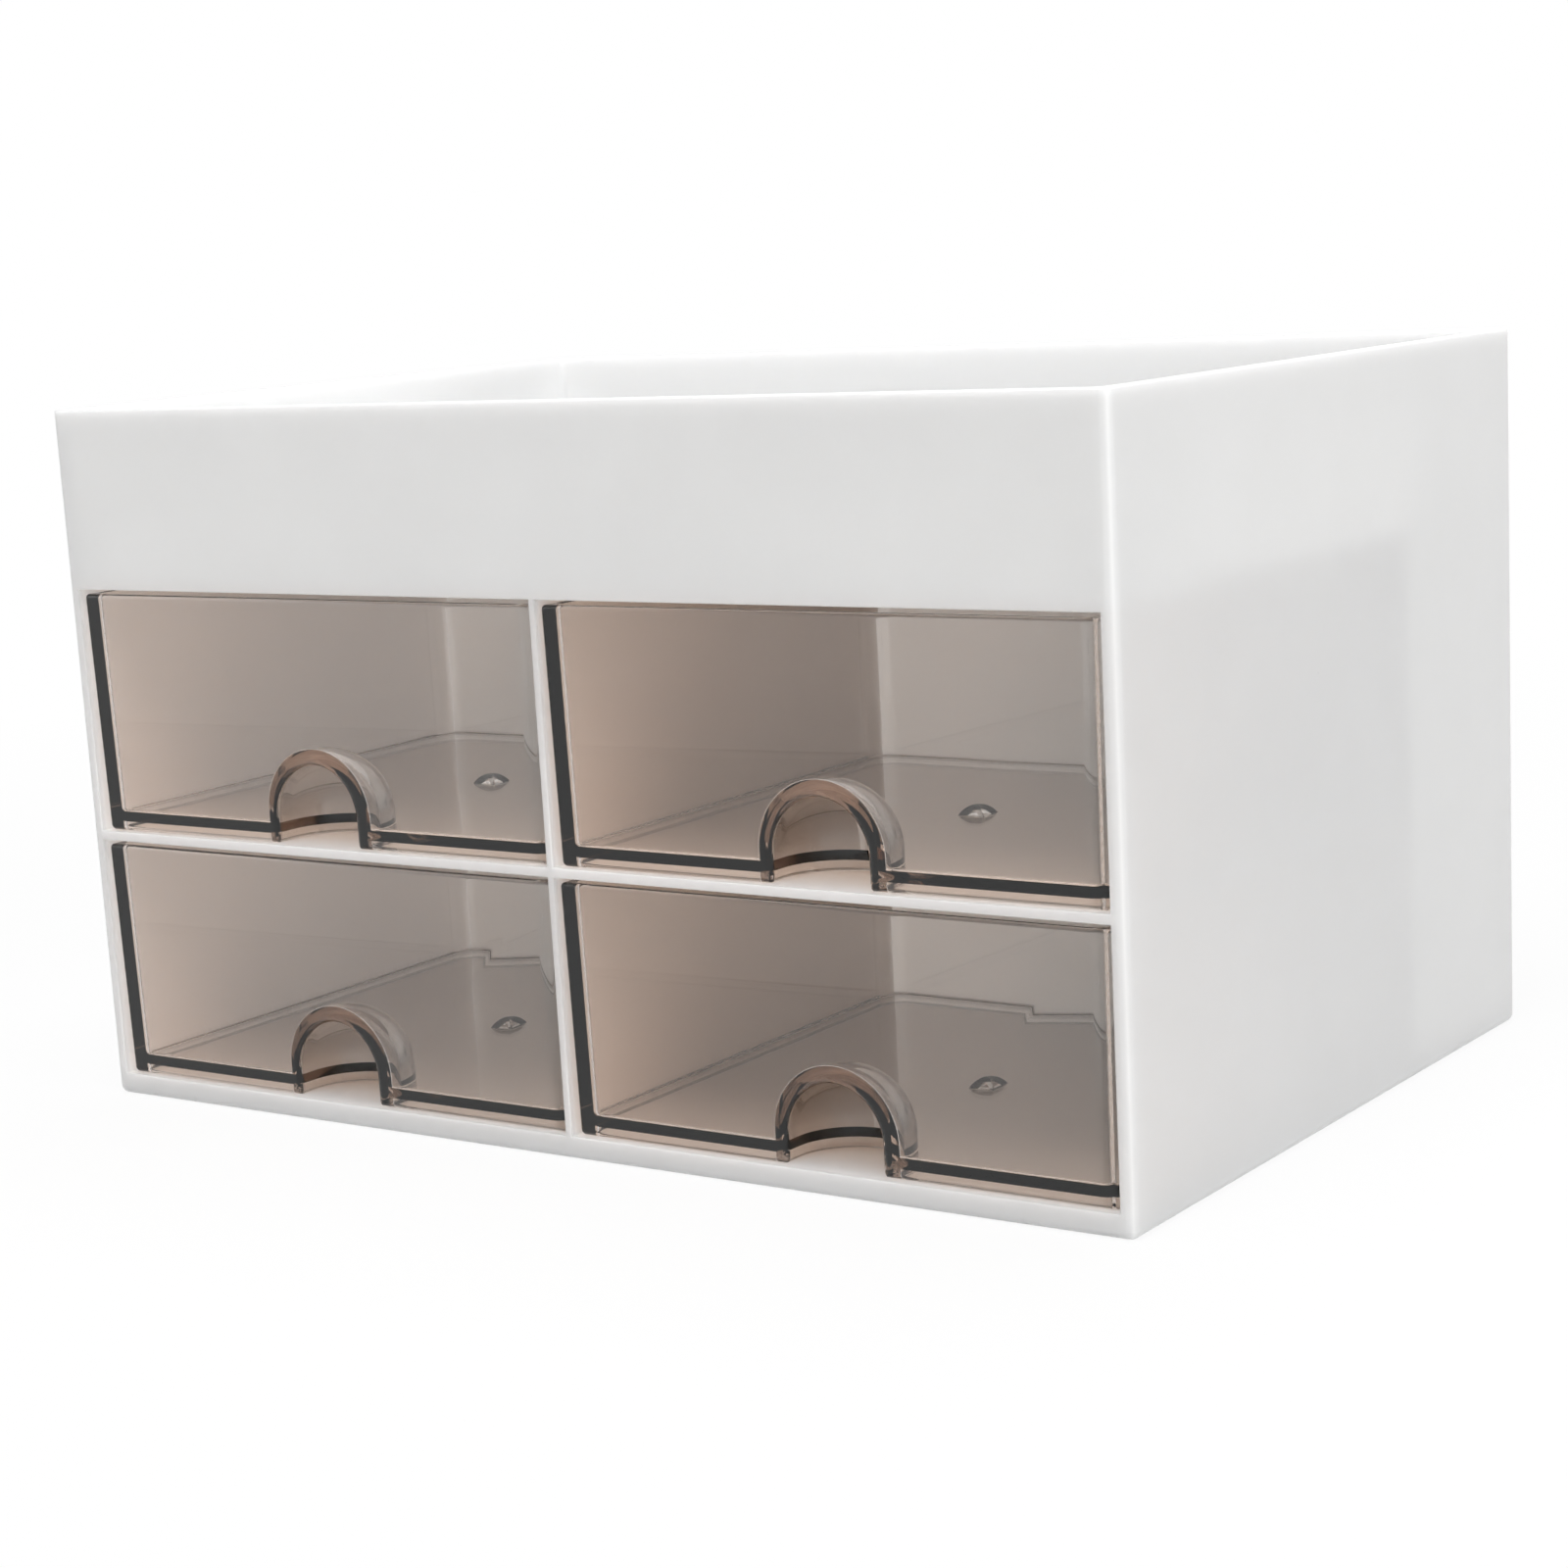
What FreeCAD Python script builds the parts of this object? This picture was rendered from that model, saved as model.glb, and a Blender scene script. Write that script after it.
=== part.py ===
# Desktop mini drawers.
# One moulded white cabinet carries an open tray on top, an open well along the rear and two
# rows of two bays. Four identical smoked clear drawers fill the bays, each with a finger scoop.
# Millimetres, +Z up, front towards -Y, origin at the middle of the underside.
import FreeCAD, Part
import math
import os

import Sketcher
from FreeCAD import Vector

# Every size that can be set by itself. Overall sizes lead, and bays and drawers follow them.
SIZES = {
    "cabinet_width": 255.0,
    "cabinet_depth": 175.0,
    "cabinet_height": 150.0,
    "shell_wall": 3.0,
    "divider_wall": 1.5,
    "shelf_wall": 2.0,
    "tray_depth": 36.0,
    "tray_floor": 2.0,
    "partition_wall": 2.0,
    "partition_rise": 4.0,
    "well_depth": 49.5,
    "base_height": 4.8,
    "base_floor": 2.0,
    "foot_width": 3.0,
    "corner_radius": 2.0,
    "base_radius": 1.8,
    "inner_corner_radius": 1.5,
    "rim_radius": 0.4,
    "bay_edge_radius": 0.3,
    "drawer_recess": 1.1,
    "drawer_side_gap": 0.4,
    "drawer_top_gap": 1.1,
    "drawer_rear_gap": 2.5,
    "drawer_wall": 2.0,
    "drawer_floor": 2.0,
    "drawer_skirt": 1.9,
    "drawer_front_corner_radius": 1.0,
    "drawer_rear_corner_radius": 6.5,
    "drawer_inner_front_radius": 2.8,
    "drawer_base_radius": 1.2,
    "drawer_floor_radius": 0.9,
    "drawer_rim_radius": 0.9,
    "scoop_radius": 10.7,
    "scoop_wall": 2.0,
    "scoop_centre_height": 6.2,
    "scoop_reach": 6.2,
    "scoop_edge_radius": 1.5,
    "nub_diameter": 8.0,
    "nub_height": 2.0,
    "cut_overrun": 5.0,
}

# Angles, in degrees.
ANGLES = {
    "drawer_draft": 0.6,
}

# Places worked out from the sizes, as expressions that the features share.
INNER_HALF_WIDTH = "(sizes.cabinet_width / 2 - sizes.shell_wall)"
FRONT = "(-sizes.cabinet_depth / 2)"
INNER_REAR = "(sizes.cabinet_depth / 2 - sizes.shell_wall)"
WELL_FRONT = f"({INNER_REAR} - sizes.well_depth)"
TRAY_REAR = f"({WELL_FRONT} - sizes.partition_wall)"
TRAY_FLOOR_TOP = "(sizes.cabinet_height - sizes.tray_depth)"
BAY_WIDTH = f"({INNER_HALF_WIDTH} - sizes.divider_wall / 2)"
BAY_CENTRE = f"(sizes.divider_wall / 2 + {BAY_WIDTH} / 2)"
BAY_DEPTH = f"({TRAY_REAR} - {FRONT})"
BAY_HEIGHT = f"(({TRAY_FLOOR_TOP} - sizes.tray_floor - sizes.shelf_wall - sizes.base_height) / 2)"
ROW_PITCH = f"({BAY_HEIGHT} + sizes.shelf_wall)"

DRAWER_HALF_WIDTH = f"({BAY_WIDTH} / 2 - sizes.drawer_side_gap)"
DRAWER_LENGTH = f"({BAY_DEPTH} - sizes.drawer_recess - sizes.drawer_rear_gap)"
DRAWER_HEIGHT = f"({BAY_HEIGHT} - sizes.drawer_top_gap)"
DRAWER_FLOOR_TOP = "(sizes.drawer_skirt + sizes.drawer_floor)"
# How far each wall leans outwards from the bottom of a drawer to its rim, and to its floor.
DRAWER_LEAN = f"({DRAWER_HEIGHT} * tan(sizes.drawer_draft))"
FLOOR_LEAN = f"(({DRAWER_HEIGHT} - {DRAWER_FLOOR_TOP}) * tan(sizes.drawer_draft))"

# Two lengths closer than MATCH are taken as equal when edges are looked up, and an edge that
# climbs at least UPRIGHT_SHARE of its length counts as upright.
MATCH = 0.001
UPRIGHT_SHARE = 0.99

doc = FreeCAD.newDocument("desktop_mini_drawers")
sheet = doc.addObject("Spreadsheet::Sheet", "sizes")
for row, (alias, number) in enumerate({**SIZES, **ANGLES}.items(), start=1):
    sheet.set(f"A{row}", alias)
    sheet.set(f"B{row}", str(number))
    sheet.setAlias(f"B{row}", alias)
doc.recompute()


def value(expression):
    """Present value of an expression in the named sizes."""
    return float(sheet.evalExpression(expression))


def new_body(label):
    """Empty body for one sub-part, named after its node."""
    body = doc.addObject("PartDesign::Body", label)
    body.Label = label
    return body


def origin_plane(body, role):
    """One of the body's own origin planes."""
    return next(item for item in body.Origin.OriginFeatures if item.Role == role)


def new_sketch(body, name, role, **offset):
    """Sketch on one of the body's origin planes, moved along the plane's x, y or normal z."""
    sketch = body.newObject("Sketcher::SketchObject", f"{body.Label}_{name}")
    sketch.AttachmentSupport = [(origin_plane(body, role), "")]
    sketch.MapMode = "FlatFace"
    for axis, expression in offset.items():
        sketch.setExpression(f"AttachmentOffset.Base.{axis}", expression)
    return sketch


def dimension(sketch, kind, name, expression, *points):
    """Driving dimension of a sketch, named and bound to an expression."""
    index = sketch.addConstraint(Sketcher.Constraint(kind, *points, value(expression)))
    sketch.renameConstraint(index, name)
    sketch.setExpression(f"Constraints.{name}", expression)


def constrain(sketch, kind, *points):
    """Geometric constraint of a sketch."""
    sketch.addConstraint(Sketcher.Constraint(kind, *points))


def draw_rectangle(sketch, name, left, right, low, high):
    """Rectangle in a sketch between four signed distances from the sketch's origin."""
    corners = [
        Vector(value(left), value(low)),
        Vector(value(right), value(low)),
        Vector(value(right), value(high)),
        Vector(value(left), value(high)),
    ]
    lines = [
        sketch.addGeometry(Part.LineSegment(start, end), False)
        for start, end in zip(corners, corners[1:] + corners[:1])
    ]
    for line, following in zip(lines, lines[1:] + lines[:1]):
        constrain(sketch, "Coincident", line, 2, following, 1)
    for line, kind in zip(lines, ["Horizontal", "Vertical"] * 2):
        constrain(sketch, kind, line)
    dimension(sketch, "DistanceX", f"{name}_left", left, -1, 1, lines[0], 1)
    dimension(sketch, "DistanceY", f"{name}_low", low, -1, 1, lines[0], 1)
    dimension(sketch, "DistanceX", f"{name}_right", right, -1, 1, lines[2], 1)
    dimension(sketch, "DistanceY", f"{name}_high", high, -1, 1, lines[2], 1)


def draw_arch(sketch, radius):
    """Scoop section: a half circle on two upright legs that stand on the drawer's bottom."""
    reach = value(radius)
    spring = value("sizes.scoop_centre_height")
    sill = sketch.addGeometry(Part.LineSegment(Vector(-reach, 0), Vector(reach, 0)), False)
    right = sketch.addGeometry(Part.LineSegment(Vector(reach, 0), Vector(reach, spring)), False)
    left = sketch.addGeometry(Part.LineSegment(Vector(-reach, spring), Vector(-reach, 0)), False)
    arch = sketch.addGeometry(
        Part.Arc(Vector(reach, spring), Vector(0, spring + reach), Vector(-reach, spring)), False
    )
    constrain(sketch, "Coincident", sill, 2, right, 1)
    constrain(sketch, "Coincident", left, 2, sill, 1)
    constrain(sketch, "Coincident", right, 2, arch, 1)
    constrain(sketch, "Coincident", arch, 2, left, 1)
    constrain(sketch, "Horizontal", sill)
    constrain(sketch, "Vertical", right)
    constrain(sketch, "Vertical", left)
    constrain(sketch, "PointOnObject", sill, 1, -1)
    constrain(sketch, "PointOnObject", arch, 3, -2)
    constrain(sketch, "Horizontal", arch, 3, right, 2)
    constrain(sketch, "Horizontal", arch, 3, left, 1)
    dimension(sketch, "DistanceY", "spring", "sizes.scoop_centre_height", -1, 1, arch, 3)
    dimension(sketch, "Radius", "radius", radius, arch)


def draw_dome(sketch, radius):
    """Half section of the scoop's domed end, a quarter circle on a leg beside the upright axis."""
    reach = value(radius)
    spring = value("sizes.scoop_centre_height")
    diagonal = reach * math.sqrt(0.5)
    sill = sketch.addGeometry(Part.LineSegment(Vector(0, 0), Vector(reach, 0)), False)
    leg = sketch.addGeometry(Part.LineSegment(Vector(reach, 0), Vector(reach, spring)), False)
    arc = sketch.addGeometry(
        Part.Arc(Vector(reach, spring), Vector(diagonal, spring + diagonal),
                 Vector(0, spring + reach)), False
    )
    axis = sketch.addGeometry(Part.LineSegment(Vector(0, spring + reach), Vector(0, 0)), False)
    constrain(sketch, "Coincident", sill, 2, leg, 1)
    constrain(sketch, "Coincident", leg, 2, arc, 1)
    constrain(sketch, "Coincident", arc, 2, axis, 1)
    constrain(sketch, "Coincident", axis, 2, sill, 1)
    constrain(sketch, "Coincident", sill, 1, -1, 1)
    constrain(sketch, "Horizontal", sill)
    constrain(sketch, "Vertical", leg)
    constrain(sketch, "Vertical", axis)
    constrain(sketch, "PointOnObject", arc, 3, -2)
    constrain(sketch, "Horizontal", arc, 3, leg, 2)
    dimension(sketch, "DistanceY", "spring", "sizes.scoop_centre_height", -1, 1, arc, 3)
    dimension(sketch, "Radius", "radius", radius, arc)


def draw_cap(sketch, half_width, rise):
    """Half section of a shallow spherical cap that stands on the sketch's x axis."""
    across = value(half_width)
    top = value(rise)
    sphere = (across * across + top * top) / (2 * top)
    middle_height = math.sqrt(sphere * sphere - across * across / 4) + top - sphere
    sill = sketch.addGeometry(Part.LineSegment(Vector(0, 0), Vector(across, 0)), False)
    arc = sketch.addGeometry(
        Part.Arc(Vector(across, 0), Vector(across / 2, middle_height), Vector(0, top)), False
    )
    axis = sketch.addGeometry(Part.LineSegment(Vector(0, top), Vector(0, 0)), False)
    constrain(sketch, "Coincident", sill, 2, arc, 1)
    constrain(sketch, "Coincident", arc, 2, axis, 1)
    constrain(sketch, "Coincident", axis, 2, sill, 1)
    constrain(sketch, "Coincident", sill, 1, -1, 1)
    constrain(sketch, "Horizontal", sill)
    constrain(sketch, "Vertical", axis)
    constrain(sketch, "PointOnObject", arc, 3, -2)
    dimension(sketch, "DistanceX", "half_width", half_width, -1, 1, sill, 2)
    dimension(sketch, "DistanceY", "rise", rise, -1, 1, axis, 1)


def check_growth(feature, before, adds):
    """Stop where a feature that should add to its body, or cut it, did the opposite or nothing."""
    change = feature.Shape.Volume - before
    if change == 0 or (change > 0) != adds:
        raise RuntimeError(f"{feature.Name} changes the volume by {change}")


def grow(body, kind, sketch, name, flags=(), **expressions):
    """Feature made from a sketch; it must add to the body or cut it, as its kind says."""
    before = body.Shape.Volume if body.Tip else 0.0
    feature = body.newObject(f"PartDesign::{kind}", f"{body.Label}_{name}")
    feature.Profile = sketch
    for flag in flags:
        setattr(feature, flag, True)
    if kind in ("Revolution", "Groove"):
        feature.ReferenceAxis = (sketch, ["V_Axis"])
    for field, expression in expressions.items():
        feature.setExpression(field, expression)
    doc.recompute()
    check_growth(feature, before, kind in ("Pad", "Revolution"))
    return feature


def round_edges(body, base, name, radius, test):
    """Fillet on every edge of the base feature that passes a test."""
    names = [f"Edge{number}" for number, edge in enumerate(base.Shape.Edges, 1) if test(edge)]
    if not names:
        raise RuntimeError(f"{body.Label} has no edge for {name}")
    feature = body.newObject("PartDesign::Fillet", f"{body.Label}_{name}")
    feature.Base = (base, names)
    feature.setExpression("Radius", radius)
    doc.recompute()
    return feature


def same(first, second):
    """True for two lengths that match."""
    return abs(first - second) < MATCH


def upright(edge):
    """True for a straight edge that is vertical or leans as little as a drafted wall."""
    rise = edge.Vertexes[-1].Point - edge.Vertexes[0].Point
    return same(rise.Length, edge.Length) and abs(rise.z) > UPRIGHT_SHARE * edge.Length


def level_at(edge, height):
    """True for an edge that lies in the horizontal plane at a height."""
    box = edge.BoundBox
    return same(box.ZMin, height) and same(box.ZMax, height)


def make_cabinet():
    """White moulding: outer block, tray, rear well, four bays and the hollow underside."""
    body = new_body("cabinet")
    inner_half_width = value(INNER_HALF_WIDTH)
    front = value(FRONT)
    top = value("sizes.cabinet_height")

    outline = new_sketch(body, "outline", "XY_Plane")
    draw_rectangle(outline, "outline", "-sizes.cabinet_width / 2", "sizes.cabinet_width / 2",
                   FRONT, "sizes.cabinet_depth / 2")
    shell = grow(body, "Pad", outline, "block", Length="sizes.cabinet_height")
    shell = round_edges(body, shell, "corners", "sizes.corner_radius", upright)
    shell = round_edges(body, shell, "foot", "sizes.base_radius", lambda edge: level_at(edge, 0))

    # The top opens in three steps: down to the partition, then the tray and the well.
    upper = new_sketch(body, "upper", "XY_Plane", z="sizes.cabinet_height")
    draw_rectangle(upper, "upper", f"-{INNER_HALF_WIDTH}", INNER_HALF_WIDTH,
                   f"{FRONT} + sizes.shell_wall", INNER_REAR)
    grow(body, "Pocket", upper, "upper_space", Length="sizes.tray_depth - sizes.partition_rise")
    tray = new_sketch(body, "tray", "XY_Plane", z="sizes.cabinet_height")
    draw_rectangle(tray, "tray", f"-{INNER_HALF_WIDTH}", INNER_HALF_WIDTH,
                   f"{FRONT} + sizes.shell_wall", TRAY_REAR)
    grow(body, "Pocket", tray, "tray_space", Length="sizes.tray_depth")
    well = new_sketch(body, "well", "XY_Plane", z="sizes.cabinet_height")
    draw_rectangle(well, "well", f"-{INNER_HALF_WIDTH}", INNER_HALF_WIDTH, WELL_FRONT, INNER_REAR)
    shell = grow(body, "Pocket", well, "well_space",
                 Length="sizes.cabinet_height - sizes.base_height")
    shell = round_edges(
        body, shell, "inner_corners", "sizes.inner_corner_radius",
        lambda edge: upright(edge) and same(edge.BoundBox.ZMax, top)
        and same(abs(edge.BoundBox.Center.x), inner_half_width))

    bays = new_sketch(body, "bays", "XZ_Plane", z="sizes.cabinet_depth / 2")
    for level in range(2):
        low = f"sizes.base_height + {level} * {ROW_PITCH}"
        high = f"{low} + {BAY_HEIGHT}"
        draw_rectangle(bays, f"left_{level}", f"-{INNER_HALF_WIDTH}", "-sizes.divider_wall / 2",
                       low, high)
        draw_rectangle(bays, f"right_{level}", "sizes.divider_wall / 2", INNER_HALF_WIDTH,
                       low, high)
    shell = grow(body, "Pocket", bays, "bay_spaces", Length=BAY_DEPTH)
    shell = round_edges(
        body, shell, "bay_edges", "sizes.bay_edge_radius",
        lambda edge: same(edge.BoundBox.YMax, front) and not level_at(edge, top)
        and edge.BoundBox.ZMin > MATCH + value("sizes.base_radius")
        and max(abs(edge.BoundBox.XMin), abs(edge.BoundBox.XMax)) < inner_half_width + MATCH)
    shell = round_edges(
        body, shell, "rim", "sizes.rim_radius", lambda edge: level_at(edge, top))

    # The underside is hollow on both sides of a middle rib, inside a rim that it stands on.
    underside = new_sketch(body, "underside", "XY_Plane")
    for name, left, right in (
        ("left", "sizes.foot_width - sizes.cabinet_width / 2", "-sizes.foot_width / 2"),
        ("right", "sizes.foot_width / 2", "sizes.cabinet_width / 2 - sizes.foot_width"),
    ):
        draw_rectangle(underside, name, left, right, f"{FRONT} + sizes.foot_width",
                       "sizes.cabinet_depth / 2 - sizes.foot_width")
    grow(body, "Pocket", underside, "underside_hollow", flags=["Reversed"],
         Length="sizes.base_height - sizes.base_floor")
    return body


def draw_inset(sketch, name, inset):
    """Rectangle inside the outline of a drawer's rim, at the same inset on all four sides."""
    draw_rectangle(sketch, name, f"{inset} - {DRAWER_HALF_WIDTH}", f"{DRAWER_HALF_WIDTH} - {inset}",
                   inset, f"{DRAWER_LENGTH} - {inset}")


def draft_block(body, kind, name, low, high, low_inset, high_inset):
    """Block with four leaning sides between two heights, inset from the outline of the rim.

    The wedge's own y axis is the drawer's height and its z axis points to the drawer's front.
    """
    fields = {"Ymin": low, "Ymax": high}
    for mark, inset in (("", low_inset), ("2", high_inset)):
        fields[f"X{mark}min"] = f"{inset} - {DRAWER_HALF_WIDTH}"
        fields[f"X{mark}max"] = f"{DRAWER_HALF_WIDTH} - {inset}"
        fields[f"Z{mark}min"] = f"{inset} - {DRAWER_LENGTH}"
        fields[f"Z{mark}max"] = f"-{inset}"
    before = body.Shape.Volume if body.Tip else 0.0
    block = body.newObject(f"PartDesign::{kind}Wedge", f"{body.Label}_{name}")
    block.AttachmentSupport = [(origin_plane(body, "XZ_Plane"), "")]
    block.MapMode = "FlatFace"
    for field, expression in fields.items():
        setattr(block, field, value(expression))
        block.setExpression(field, expression)
    doc.recompute()
    check_growth(block, before, kind == "Additive")
    return block


def make_drawer(label, side, level):
    """Smoked clear drawer, built from the front middle of its bottom and placed in its bay."""
    body = new_body(label)
    half_length = value(DRAWER_LENGTH) / 2
    height = value(DRAWER_HEIGHT)
    floor_top = value(DRAWER_FLOOR_TOP)
    skirt = value("sizes.drawer_skirt")
    scoop = value("sizes.scoop_radius")
    inner_rear_radius = "sizes.drawer_rear_corner_radius - sizes.drawer_wall"
    lean = value(DRAWER_LEAN)
    base_half_width = value(DRAWER_HALF_WIDTH) - lean

    def on_outline(edge):
        """True for an edge that touches the outermost line of the drawer's bottom."""
        box = edge.BoundBox
        beside = max(abs(box.XMin), abs(box.XMax)) > base_half_width - MATCH
        return beside or box.YMin < lean + MATCH or box.YMax > 2 * half_length - lean - MATCH

    # Shell with leaning walls and round corners.
    shell = draft_block(body, "Additive", "block", "0", DRAWER_HEIGHT, DRAWER_LEAN, "0")
    shell = round_edges(body, shell, "front_corners", "sizes.drawer_front_corner_radius",
                        lambda edge: upright(edge) and edge.BoundBox.Center.y < half_length)
    shell = round_edges(body, shell, "rear_corners", "sizes.drawer_rear_corner_radius",
                        lambda edge: upright(edge) and edge.BoundBox.Center.y > half_length)

    # The inside widens towards the rim with the walls.
    shell = draft_block(body, "Subtractive", "inside", DRAWER_FLOOR_TOP,
                        f"{DRAWER_HEIGHT} + sizes.cut_overrun", f"({FLOOR_LEAN} + sizes.drawer_wall)",
                        "(sizes.drawer_wall - sizes.cut_overrun * tan(sizes.drawer_draft))")
    shell = round_edges(body, shell, "inner_front_corners", "sizes.drawer_inner_front_radius",
                        lambda edge: upright(edge) and same(edge.BoundBox.ZMin, floor_top)
                        and edge.BoundBox.Center.y < half_length)
    shell = round_edges(body, shell, "inner_rear_corners", inner_rear_radius,
                        lambda edge: upright(edge) and same(edge.BoundBox.ZMin, floor_top)
                        and edge.BoundBox.Center.y > half_length)
    shell = round_edges(body, shell, "floor_edge", "sizes.drawer_floor_radius",
                        lambda edge: level_at(edge, floor_top))

    # Below the floor the walls go on as a skirt that the drawer slides on.
    underside = new_sketch(body, "underside", "XY_Plane")
    draw_inset(underside, "underside", f"({DRAWER_LEAN} + sizes.drawer_wall)")
    shell = grow(body, "Pocket", underside, "underside_hollow", flags=["Reversed"],
                 Length="sizes.drawer_skirt")
    shell = round_edges(body, shell, "skirt_rear_corners", inner_rear_radius,
                        lambda edge: upright(edge) and same(edge.BoundBox.ZMax, skirt)
                        and same(edge.BoundBox.ZMin, 0) and edge.BoundBox.Center.y > half_length)
    shell = round_edges(body, shell, "base_edge", "sizes.drawer_base_radius",
                        lambda edge: level_at(edge, 0) and on_outline(edge))

    # The scoop is a shell: an arch that runs in from the front and ends in half a dome.
    arch = new_sketch(body, "scoop_arch", "XZ_Plane", z="-sizes.scoop_reach")
    draw_arch(arch, "sizes.scoop_radius + sizes.scoop_wall")
    grow(body, "Pad", arch, "scoop_tunnel", Length="sizes.scoop_reach - sizes.drawer_wall")
    dome = new_sketch(body, "scoop_dome", "YZ_Plane", x="sizes.scoop_reach")
    draw_dome(dome, "sizes.scoop_radius + sizes.scoop_wall")
    grow(body, "Revolution", dome, "scoop_end", flags=["Midplane"], Angle="180")
    mouth = new_sketch(body, "scoop_mouth", "XZ_Plane", z="sizes.cut_overrun")
    draw_arch(mouth, "sizes.scoop_radius")
    grow(body, "Pocket", mouth, "scoop_opening", Length="sizes.scoop_reach + sizes.cut_overrun")
    hollow = new_sketch(body, "scoop_hollow", "YZ_Plane", x="sizes.scoop_reach")
    draw_dome(hollow, "sizes.scoop_radius")
    shell = grow(body, "Groove", hollow, "scoop_inside", flags=["Midplane"], Angle="180")
    round_edges(body, shell, "scoop_edge", "sizes.scoop_edge_radius",
                lambda edge: edge.BoundBox.YMax < value("sizes.drawer_wall")
                and max(abs(edge.BoundBox.XMin), abs(edge.BoundBox.XMax)) < scoop + MATCH
                and edge.BoundBox.ZMax > MATCH)

    # A low round nub in the middle of the floor, and a rounded rim.
    nub = new_sketch(body, "nub", "YZ_Plane", x=f"{DRAWER_LENGTH} / 2", y=DRAWER_FLOOR_TOP)
    draw_cap(nub, "sizes.nub_diameter / 2", "sizes.nub_height")
    shell = grow(body, "Revolution", nub, "floor_nub", Angle="360")
    round_edges(body, shell, "rim", "sizes.drawer_rim_radius",
                lambda edge: level_at(edge, height))

    body.setExpression("Placement.Base.x", f"{side} * {BAY_CENTRE}")
    body.setExpression("Placement.Base.y", f"{FRONT} + sizes.drawer_recess")
    body.setExpression("Placement.Base.z", f"sizes.base_height + {level} * {ROW_PITCH}")
    return body


def check(bodies):
    """Stop where an object of the document has failed or a sub-part's shape is no sound solid."""
    for item in doc.Objects:
        if {"Invalid", "Error"} & set(item.State):
            raise RuntimeError(f"{item.Label} has failed: {item.State}")
    for body in bodies:
        if body.Shape.isNull() or not body.Shape.isValid() or len(body.Shape.Solids) != 1:
            raise RuntimeError(f"{body.Label} is not one sound solid")


sub_parts = [make_cabinet()]
for level, row_name in enumerate(["lower", "upper"]):
    for side, side_name in ((-1, "left"), (1, "right")):
        sub_parts.append(make_drawer(f"drawer_{row_name}_{side_name}", side, level))
doc.recompute()
check(sub_parts)

os.makedirs("parts", exist_ok=True)
for sub_part in sub_parts:
    sub_part.Shape.exportStep(f"parts/{sub_part.Label}.step")
    print(sub_part.Label, round(sub_part.Shape.Volume), "mm3")
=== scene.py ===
"""Desktop mini drawers, dressed for the photograph's view.

A white moulded cabinet with a tray on top, a well along the rear and four smoked clear
drawers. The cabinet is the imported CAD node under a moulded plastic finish. Each drawer is a
new surface in the place of its CAD node, so that its round edges bend light smoothly.
"""

import logging
import math
from dataclasses import dataclass
from enum import Enum

import bmesh
import bpy
import numpy as np
from mathutils import Matrix, Vector

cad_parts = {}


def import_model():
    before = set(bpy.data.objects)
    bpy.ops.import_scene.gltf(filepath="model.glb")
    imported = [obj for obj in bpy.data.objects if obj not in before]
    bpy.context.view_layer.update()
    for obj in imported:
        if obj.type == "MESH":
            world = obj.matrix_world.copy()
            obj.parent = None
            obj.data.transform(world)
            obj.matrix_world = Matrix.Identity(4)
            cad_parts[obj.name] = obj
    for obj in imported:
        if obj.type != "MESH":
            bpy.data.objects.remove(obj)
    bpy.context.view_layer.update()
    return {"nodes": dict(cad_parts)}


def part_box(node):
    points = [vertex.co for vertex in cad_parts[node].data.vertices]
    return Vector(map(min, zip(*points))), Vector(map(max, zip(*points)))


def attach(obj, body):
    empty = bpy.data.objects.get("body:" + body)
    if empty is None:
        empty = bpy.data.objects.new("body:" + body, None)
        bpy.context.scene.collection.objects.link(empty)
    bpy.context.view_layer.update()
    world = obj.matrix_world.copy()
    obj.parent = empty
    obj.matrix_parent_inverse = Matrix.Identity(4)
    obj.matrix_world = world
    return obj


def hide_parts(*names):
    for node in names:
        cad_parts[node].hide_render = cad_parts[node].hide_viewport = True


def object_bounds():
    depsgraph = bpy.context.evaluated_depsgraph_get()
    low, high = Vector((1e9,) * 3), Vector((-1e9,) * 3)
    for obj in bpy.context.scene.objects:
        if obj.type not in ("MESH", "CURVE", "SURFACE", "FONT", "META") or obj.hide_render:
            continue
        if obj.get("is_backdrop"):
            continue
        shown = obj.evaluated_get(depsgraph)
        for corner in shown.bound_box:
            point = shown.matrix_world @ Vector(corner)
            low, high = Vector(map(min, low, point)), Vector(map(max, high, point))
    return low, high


MM = 0.001
# Points closer than this are one point.
MERGE_REACH = 0.001 * MM
# Edges that bend by more than this stay sharp.
SHARP_ANGLE = math.radians(30)
# At full weight the large faces at a point rule its normal.
NORMAL_WEIGHT = 100
# Sockets of the Mix node share their names, so they are picked by number.
MIX_FACTOR = 0
MIX_FLOATS = (2, 3)
MIX_COLOURS = (6, 7)
MIXED_COLOUR = 2
LOG = logging.getLogger("mini_drawers")


def linear(hex_colour: str) -> tuple[float, float, float, float]:
    """Turn an sRGB hex colour into the linear colour that shaders take.

    The sRGB curve is a straight line near black and a power of 2.4 above it.

    Args:
        hex_colour: Six hex digits, with or without a leading hash.

    Returns:
        Linear red, green and blue, with an alpha of one.
    """
    digits = hex_colour.lstrip("#")
    channels = np.array([int(digits[i:i + 2], 16) for i in (0, 2, 4)]) / 255
    low = channels / 12.92
    high = ((channels + 0.055) / 1.055) ** 2.4
    red, green, blue = np.where(channels <= 0.04045, low, high)
    return float(red), float(green), float(blue), 1.0


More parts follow.
